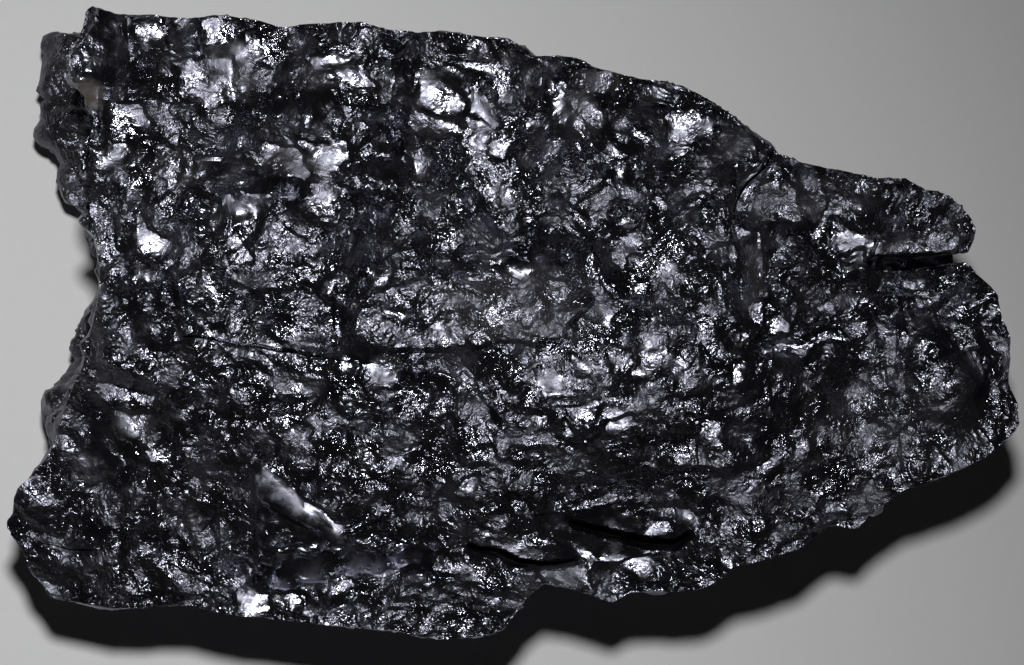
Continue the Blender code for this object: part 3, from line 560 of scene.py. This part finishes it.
def level_field(points, normals):
    """A smooth height over the plan that follows the upper face, and a way to read it."""
    low = points[:, :2].min(0) - LEVEL_MARGIN
    size = np.ceil((points[:, :2].max(0) + LEVEL_MARGIN - low) / LEVEL_GRID).astype(int) + 1
    top = (normals[:, 2] > LEVEL_FACING) & (points[:, 2] > LEVEL_FROM)
    cells = np.round((points[top, :2] - low) / LEVEL_GRID).astype(int)
    highest = np.zeros(size)
    np.maximum.at(highest, (cells[:, 0], cells[:, 1]), points[top, 2])
    seen = highest[cells[:, 0], cells[:, 1]] - points[top, 2] < LEVEL_DEPTH
    total = np.zeros(size)
    count = np.zeros(size)
    np.add.at(total, (cells[seen, 0], cells[seen, 1]), points[top, 2][seen])
    np.add.at(count, (cells[seen, 0], cells[seen, 1]), 1.0)
    mean = np.where(count > 0, total / np.maximum(count, 1.0), 0.0)
    mask = (count > 0).astype(float)
    reach = int(LEVEL_BLUR * 3 / LEVEL_GRID)
    steps = np.arange(-reach, reach + 1) * LEVEL_GRID
    kernel = np.exp(-0.5 * (steps / LEVEL_BLUR) ** 2)
    for axis in (0, 1):
        mean = np.apply_along_axis(np.convolve, axis, mean, kernel, "same")
        mask = np.apply_along_axis(np.convolve, axis, mask, kernel, "same")
    level = mean / np.maximum(mask, 1e-6)

    def read(at):
        place = (at[:, :2] - low) / LEVEL_GRID
        cell = np.clip(np.floor(place).astype(int), 0, size - 2)
        part = place - cell
        x, y = cell[:, 0], cell[:, 1]
        west = level[x, y] * (1 - part[:, 1]) + level[x, y + 1] * part[:, 1]
        east = level[x + 1, y] * (1 - part[:, 1]) + level[x + 1, y + 1] * part[:, 1]
        return west * (1 - part[:, 0]) + east * part[:, 0]

    return read


def level_at(read_level, place):
    return float(read_level(place[None, :])[0])


def level_upper_face(lump):
    """Lays the upper face on its level and fills the joints that are cut again later.

    Gives a way to read the level, how much each point belongs to the upper face, and how far
    each point is left under the level.
    """
    points = read_points(lump)
    read_level = level_field(points, read_normals(lump))
    below = read_level(points) - points[:, 2]
    upper = smooth(below, *UPPER_DEPTH)
    for path in FILLED_JOINTS:
        away, _ = distance_to_path(points[:, :2], plan_path(path))
        upper[(away < FILL_REACH) & (below < FILL_DEPTH)] = 1.0
    points[:, 2] += upper * below
    write_points(lump, points)
    return read_level, upper, np.where(upper > UPPER_WHOLE, 0.0, below)


def wandering_plan(points):
    """Each point's place on the plan, off by a little, so that no break runs straight."""
    plan = points[:, :2].copy()
    for size, reach, seeds in FACET_WOBBLE:
        plan += np.stack([wander(points, size, seed) for seed in seeds], axis=1) * reach
    return plan


def lean_calmer_parts(points, plan, relief, upper, read_level):
    """Leans the wider parts, and gives back the relief, calmed on them."""
    for u, v, reach_u, reach_v, east, north, calm in CALMER_PARTS:
        middle = np.array(plan_point(u, v))
        away = (plan - middle) / (np.array([reach_u, reach_v]) * PLAN_UNIT)
        share = smooth(np.hypot(away[:, 0], away[:, 1]), *CALMER_EDGE) * upper
        lean = (middle - CATCH_PLACE) / CATCH_REACH + (east, north)
        height = level_at(read_level, middle) + (plan - middle) @ lean
        points[:, 2] += share * (height - read_level(points))
        relief = relief * (1 - calm * share)
    return relief


def press_troughs(points, plan, upper):
    for depth, half_width, path in TROUGHS:
        away, _ = distance_to_path(plan, plan_path(path))
        points[:, 2] -= depth * np.exp(-((away / half_width) ** 2)) * upper


def set_facets(points, spots, plan, upper, read_level):
    """Lays each facet on its own plane, and gives how much each point is polished."""
    polish = np.zeros(len(points))
    for corners, east, north, lift, polished in FACETS:
        shape = plan_path(corners)
        low, high = shape.min(0) - FACET_MARGIN, shape.max(0) + FACET_MARGIN
        near = np.all((plan > low) & (plan < high), axis=1)
        inside = depth_inside(spots[near] if polished >= GLASSY else plan[near], shape)
        share = smooth(inside + FACET_GROWTH, -FACET_EDGE / 2, FACET_EDGE / 2) * upper[near]
        middle = shape.mean(0)
        lean = (middle - CATCH_PLACE) / CATCH_REACH + (east, north)
        plane = level_at(read_level, middle) + LIFT_SHARE * lift * smooth(inside, 0.0, LIFT_EDGE)
        plane += (plan[near] - middle) @ lean
        points[near, 2] += share * (plane - points[near, 2])
        polish[near] = polish[near] * (1 - share) + share * polished
    return polish


def roughen(points, normals, relief, upper, below):
    """Moves the skin out and in by its relief, less at the ground and just under the rim."""
    ground = smooth(points[:, 2], *GROUND_EDGE)
    steep = 1.0 - normals[:, 2].clip(0, 1)
    rim = 1.0 - RIM_CALM * smooth(np.abs(below), RIM_REACH, 0.0) * steep
    moved = normals * (relief * ground * rim)[:, None]
    moved[:, :2] *= (1.0 - SIDEWAYS_HELD * upper)[:, None]
    points += moved


def press_gaps(points, spots, below):
    for depth, corners in GAPS:
        share = smooth(depth_inside(spots, plan_path(corners)), *GAP_EDGE)
        points[:, 2] -= depth * share * smooth(below, *GAP_BELOW)


def break_faces(lump):
    """Levels and breaks the upper face, roughens every face, and gives a way to read the level."""
    read_level, upper, below = level_upper_face(lump)
    points, normals = read_points(lump), read_normals(lump)
    spots, plan = points[:, :2].copy(), wandering_plan(points)
    relief, crumble = broken_relief(points)
    relief = lean_calmer_parts(points, plan, relief, upper, read_level)
    press_troughs(points, plan, upper)
    polish = set_facets(points, spots, plan, upper, read_level)
    set_attribute(lump, "crumble", crumble * (1 - polish))
    roughen(points, normals, relief * (1 - polish), upper, below)
    press_gaps(points, spots, below)
    points[:, 2] = np.maximum(points[:, 2], 0.0)
    write_points(lump, points)
    return read_level


def thin_out(lump):
    """Spends fewer triangles on the sides and the underside, then a few less everywhere."""
    only(lump)
    bpy.ops.object.mode_set(mode="EDIT")
    bpy.ops.mesh.select_mode(type="FACE")
    bpy.ops.mesh.select_all(action="SELECT")
    bpy.ops.mesh.quads_convert_to_tris()
    bpy.ops.mesh.select_all(action="DESELECT")
    bpy.ops.object.mode_set(mode="OBJECT")
    faces = lump.data.polygons
    normals = np.empty(len(faces) * 3)
    faces.foreach_get("normal", normals)
    centres = np.empty(len(faces) * 3)
    faces.foreach_get("center", centres)
    facing, height = normals.reshape(-1, 3)[:, 2], centres.reshape(-1, 3)[:, 2]
    faces.foreach_set("select", (facing < PLAIN_FACING) & (height < PLAIN_BELOW * MM))
    bpy.ops.object.mode_set(mode="EDIT")
    bpy.ops.mesh.decimate(ratio=PLAIN_SHARE)
    bpy.ops.object.mode_set(mode="OBJECT")
    now = len(lump.data.polygons)
    if now > MOST_TRIANGLES:
        apply_modifier(lump, "DECIMATE", ratio=MOST_TRIANGLES / now)


def crack_blade(width, depth, path, read_level):
    """A thin blade that stands in the face along a crack, thickest at its middle."""
    corners = plan_path(path)
    along = np.linspace(0.0, 1.0, BLADE_STEPS)
    marks = np.linspace(0.0, 1.0, len(corners))
    middle = np.stack([np.interp(along, marks, corners[:, axis]) for axis in (0, 1)], axis=1)
    lifted = np.column_stack([middle, np.zeros(len(middle))])
    bends = [wander(lifted, BLADE_BEND, seed) for seed in BLADE_SEEDS]
    middle = middle + np.stack(bends, axis=1) * BLADE_WANDER
    run = np.gradient(middle, axis=0)
    across = np.stack([-run[:, 1], run[:, 0]], axis=1) / np.hypot(run[:, 0], run[:, 1])[:, None]
    taper = BLADE_TIP + (1.0 - 2.0 * BLADE_TIP) * along
    half = 0.5 * width * np.sqrt(np.sin(np.pi * taper))[:, None]
    face = read_level(np.column_stack([middle, np.zeros(len(middle))]))
    rings = []
    for place, height in (
        (middle + across * half * BLADE_TOP, face + CRACK_BITE),
        (middle - across * half * BLADE_TOP, face + CRACK_BITE),
        (middle - across * half * BLADE_FOOT, face - depth),
        (middle + across * half * BLADE_FOOT, face - depth),
    ):
        rings.append(np.column_stack([place, height]))
    return np.stack(rings, axis=1).reshape(-1, 3)


def cut_cracks(lump, read_level):
    """Cuts all the fine cracks at one go with a set of thin blades."""
    points, faces = [], []
    for width, depth, path in CRACKS:
        start = 4 * BLADE_STEPS * len(points)
        points.append(crack_blade(width, depth, path, read_level))
        for step in range(BLADE_STEPS - 1):
            one, two = start + 4 * step, start + 4 * step + 4
            for side in range(4):
                after = (side + 1) % 4
                faces.append((one + side, two + side, two + after, one + after))
        faces.append((start, start + 1, start + 2, start + 3))
        last = start + 4 * (BLADE_STEPS - 1)
        faces.append((last + 3, last + 2, last + 1, last))
    mesh = bpy.data.meshes.new("crack_blades")
    mesh.from_pydata([tuple(point) for point in np.vstack(points) * MM], [], faces)
    blades = bpy.data.objects.new("crack_blades", mesh)
    bpy.context.scene.collection.objects.link(blades)
    only(blades)
    bpy.ops.object.mode_set(mode="EDIT")
    bpy.ops.mesh.select_all(action="SELECT")
    bpy.ops.mesh.normals_make_consistent(inside=False)
    bpy.ops.object.mode_set(mode="OBJECT")
    apply_modifier(lump, "BOOLEAN", operation="DIFFERENCE", solver="FAST", object=blades)
    bpy.data.objects.remove(blades)


def paint_patches(lump, read_level):
    """Marks where the skin is dull and where it is stained."""
    points = read_points(lump)
    below = read_level(points) - points[:, 2]
    high = smooth(points[:, 2], *PATCH_HIGH)
    ragged = sum(reach * wander(points, size, seed) for size, reach, seed in PATCH_RAGGED)
    for name, patches in (("dull", DULL), ("stain", STAINS)):
        amount = np.zeros(len(points))
        for u, v, reach_u, reach_v, much in patches:
            middle = np.array(plan_point(u, v))
            away = (points[:, :2] - middle) / (np.array([reach_u, reach_v]) * PLAN_UNIT)
            share = smooth(np.hypot(away[:, 0], away[:, 1]) + ragged, *PATCH_EDGE)
            amount = np.maximum(amount, much * share * high)
        if name == "dull":
            steep = smooth(read_normals(lump)[:, 2], *STEEP_FACING)
            west = smooth(points[:, 0], *DULL_WEST)
            sides = SHELF_DULL + (SIDES_DULL - SHELF_DULL) * steep * west
            amount = np.maximum(amount, sides * smooth(below, *SIDES_BELOW))
        set_attribute(lump, name, amount)


def shift_rim(lump):
    """Moves the rim and the foot to where the real ones stand, and slopes the low shelf."""
    points = read_points(lump)
    shelf = smooth(points[:, 1], *SHELF_NORTH) * smooth(points[:, 2], *SHELF_BELOW)
    points[:, 2] *= 1.0 - SHELF_SLOPE * shelf * np.maximum(SHELF_EAST - points[:, 0], 0.0)
    moved = points.copy()
    for middle, reach, shift in SHIFTS:
        away = np.linalg.norm((points - middle) / np.array(reach), axis=1)
        moved += smooth(away, *SHIFT_EDGE)[:, None] * np.array(shift)
    moved[:, 2] = np.where(points[:, 2] <= 0.0, 0.0, moved[:, 2])
    write_points(lump, moved)


def keep_in_box(lump, low, high):
    points = read_points(lump)
    points = np.clip(points, np.array(low) / MM - BOX_ROOM, np.array(high) / MM + BOX_ROOM)
    points[:, 2] = np.maximum(points[:, 2], 0.0)
    write_points(lump, points)


# ---------------------------------------------------------------------------------------
# Anthracite
# ---------------------------------------------------------------------------------------
def anthracite():
    """Near-black and bright, with a dull and a stained tint, and small relief in the skin."""
    material = bpy.data.materials.new("anthracite")
    material.use_nodes = True
    tree = material.node_tree
    nodes, links = tree.nodes, tree.links
    shader = nodes["Principled BSDF"]
    shader.inputs["IOR"].default_value = 2.45
    shader.inputs["Specular Tint"].default_value = (0.82, 0.83, 1.0, 1.0)
    place = nodes.new("ShaderNodeTexCoord").outputs["Object"]

    def noise(scale, detail, rough=0.55, swirl=0.0, kind="FBM"):
        node = nodes.new("ShaderNodeTexNoise")
        node.noise_type = kind
        node.normalize = True
        node.inputs["Scale"].default_value = scale
        node.inputs["Detail"].default_value = detail
        node.inputs["Roughness"].default_value = rough
        node.inputs["Distortion"].default_value = swirl
        links.new(place, node.inputs["Vector"])
        return node.outputs["Fac"]

    def ramp(source, stops):
        node = nodes.new("ShaderNodeValToRGB")
        elements = node.color_ramp.elements
        while len(elements) < len(stops):
            elements.new(0.5)
        for element, (where, colour) in zip(elements, stops):
            element.position = where
            element.color = (*colour, 1.0)
        links.new(source, node.inputs["Fac"])
        return node.outputs["Color"]

    def bump(height, distance, strength, normal=None):
        node = nodes.new("ShaderNodeBump")
        node.inputs["Distance"].default_value = distance
        links.new(height, node.inputs["Height"])
        links.new(strength, node.inputs["Strength"])
        if normal is not None:
            links.new(normal, node.inputs["Normal"])
        return node.outputs["Normal"]

    def shards(scale, tilt, strength, normal):
        """Tilts the skin a different way on every tiny shard."""
        cells = nodes.new("ShaderNodeTexVoronoi")
        cells.inputs["Scale"].default_value = scale
        links.new(place, cells.inputs["Vector"])
        lean = nodes.new("ShaderNodeVectorMath")
        lean.operation = "SUBTRACT"
        lean.inputs[1].default_value = (0.5, 0.5, 0.5)
        links.new(cells.outputs["Color"], lean.inputs[0])
        amount = nodes.new("ShaderNodeMath")
        amount.operation = "MULTIPLY"
        amount.inputs[1].default_value = tilt * 2.0
        links.new(strength, amount.inputs[0])
        much = nodes.new("ShaderNodeVectorMath")
        much.operation = "SCALE"
        links.new(lean.outputs[0], much.inputs[0])
        links.new(amount.outputs[0], much.inputs["Scale"])
        total = nodes.new("ShaderNodeVectorMath")
        links.new(normal, total.inputs[0])
        links.new(much.outputs[0], total.inputs[1])
        unit = nodes.new("ShaderNodeVectorMath")
        unit.operation = "NORMALIZE"
        links.new(total.outputs[0], unit.inputs[0])
        return unit.outputs[0]

    # a dark tint, paler where the skin is dull or stained
    colour = ramp(noise(260.0, 5.0), [
        (0.35, (0.003, 0.003, 0.004)), (0.6, (0.007, 0.007, 0.008)), (0.8, (0.014, 0.014, 0.015)),
    ])
    for name, tint in (("dull", (0.045, 0.045, 0.046)), ("stain", (0.085, 0.075, 0.062))):
        patch = nodes.new("ShaderNodeAttribute")
        patch.attribute_name = name
        mix = nodes.new("ShaderNodeMix")
        mix.data_type = "RGBA"
        links.new(patch.outputs["Fac"], mix.inputs["Factor"])
        links.new(colour, mix.inputs[6])
        mix.inputs[7].default_value = (*tint, 1.0)
        colour = mix.outputs[2]
    links.new(colour, shader.inputs["Base Color"])
    # a lustre that comes and goes, weaker where the skin is dull
    rough = ramp(noise(300.0, 5.0, 0.65), [
        (0.40, (0.12,) * 3), (0.5, (0.26,) * 3), (0.60, (0.46,) * 3),
    ])
    dull = nodes.new("ShaderNodeAttribute")
    dull.attribute_name = "dull"
    duller = nodes.new("ShaderNodeMath")
    duller.operation = "MULTIPLY_ADD"
    duller.inputs[1].default_value = 0.2
    links.new(dull.outputs["Fac"], duller.inputs[0])
    links.new(rough, duller.inputs[2])
    links.new(duller.outputs[0], shader.inputs["Roughness"])

    # ridges, wrinkles and shards too small for the mesh, weaker where a facet is polished
    crumble = nodes.new("ShaderNodeAttribute")
    crumble.attribute_name = "crumble"
    strength = nodes.new("ShaderNodeMapRange")
    strength.inputs["To Min"].default_value = 0.06
    strength.inputs["To Max"].default_value = 1.0
    strength.inputs["From Max"].default_value = 0.5
    links.new(crumble.outputs["Fac"], strength.inputs["Value"])
    strength = strength.outputs["Result"]

    ridges = noise(420.0, 2.0, 0.5, 1.6, "RIDGED_MULTIFRACTAL")
    normal = bump(ridges, 0.0003, strength)
    wrinkles = noise(1500.0, 2.0, 0.6, 1.2)
    normal = bump(wrinkles, 0.00020, strength, normal)
    normal = shards(2400.0, 0.08, strength, normal)
    links.new(normal, shader.inputs["Normal"])
    return material


def pale_paper():
    material = bpy.data.materials.new("pale_paper")
    material.use_nodes = True
    nodes, links = material.node_tree.nodes, material.node_tree.links
    shader = nodes["Principled BSDF"]
    shader.inputs["Roughness"].default_value = 0.75
    fibre = nodes.new("ShaderNodeTexNoise")
    fibre.inputs["Scale"].default_value = 900.0
    fibre.inputs["Detail"].default_value = 4.0
    place = nodes.new("ShaderNodeTexCoord")
    links.new(place.outputs["Object"], fibre.inputs["Vector"])
    tone = nodes.new("ShaderNodeValToRGB")
    tone.color_ramp.elements[0].color = (0.76, 0.765, 0.77, 1.0)
    tone.color_ramp.elements[1].color = (0.80, 0.80, 0.80, 1.0)
    links.new(fibre.outputs["Fac"], tone.inputs["Fac"])
    links.new(tone.outputs["Color"], shader.inputs["Base Color"])
    return material


# ---------------------------------------------------------------------------------------
# Floor, light and camera
# ---------------------------------------------------------------------------------------
def lay_floor():
    bpy.ops.object.select_all(action="DESELECT")
    bpy.ops.mesh.primitive_plane_add(size=FLOOR_SIZE * MM)
    floor = bpy.context.object
    floor.name = "pale_floor"
    floor.data.materials.append(pale_paper())


def light_studio():
    """One lamp beside the eye, and a faint glow all round."""
    data = bpy.data.lights.new("key", "SPOT")
    data.energy = KEY_POWER
    data.shadow_soft_size = KEY_SIZE * MM
    data.spot_size = math.radians(KEY_CONE)
    data.spot_blend = 1.0
    lamp = bpy.data.objects.new("key", data)
    place, target = Vector(KEY_PLACE) * MM, Vector(KEY_TARGET) * MM
    lamp.location = place
    lamp.rotation_euler = (target - place).to_track_quat("-Z", "Y").to_euler()
    bpy.context.scene.collection.objects.link(lamp)
    bpy.context.scene.view_settings.view_transform = "Standard"
    world = bpy.data.worlds.new("studio")
    bpy.context.scene.world = world
    world.use_nodes = True
    glow = world.node_tree.nodes["Background"]
    glow.inputs["Color"].default_value = (1.0, 1.0, 1.0, 1.0)
    glow.inputs["Strength"].default_value = WORLD_GLOW


def place_camera():
    """The eye over the plan's middle, which sees the plan from edge to edge."""
    data = bpy.data.cameras.new("camera")
    data.sensor_width = SENSOR
    data.lens = SENSOR * PLAN_REACH / (2.0 * PLAN_MIDDLE[0])
    data.clip_start = 0.01
    camera = bpy.data.objects.new("camera", data)
    camera.location = (EYE_PLACE[0] * MM, EYE_PLACE[1] * MM, EYE_HEIGHT * MM)
    bpy.context.scene.collection.objects.link(camera)
    bpy.context.scene.camera = camera


# ---------------------------------------------------------------------------------------
# The scene
# ---------------------------------------------------------------------------------------
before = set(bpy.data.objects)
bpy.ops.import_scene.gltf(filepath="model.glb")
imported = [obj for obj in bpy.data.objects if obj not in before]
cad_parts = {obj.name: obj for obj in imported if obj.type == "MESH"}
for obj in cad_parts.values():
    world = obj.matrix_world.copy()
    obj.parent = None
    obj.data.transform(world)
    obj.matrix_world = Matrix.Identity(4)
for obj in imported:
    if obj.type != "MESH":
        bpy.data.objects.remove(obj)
cad_low, cad_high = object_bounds()
bpy.ops.object.select_all(action="DESELECT")

coal = cast_lump(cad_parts["coal_lump"])
read_level = break_faces(coal)
thin_out(coal)
cut_cracks(coal, read_level)
paint_patches(coal, read_level)
shift_rim(coal)
keep_in_box(coal, cad_low, cad_high)
coal.data.materials.clear()
coal.data.materials.append(anthracite())
only(coal)
bpy.ops.object.shade_smooth_by_angle(angle=math.radians(SHADE_ANGLE))
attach(coal, "root")
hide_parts("coal_lump")

lay_floor()
light_studio()
place_camera()
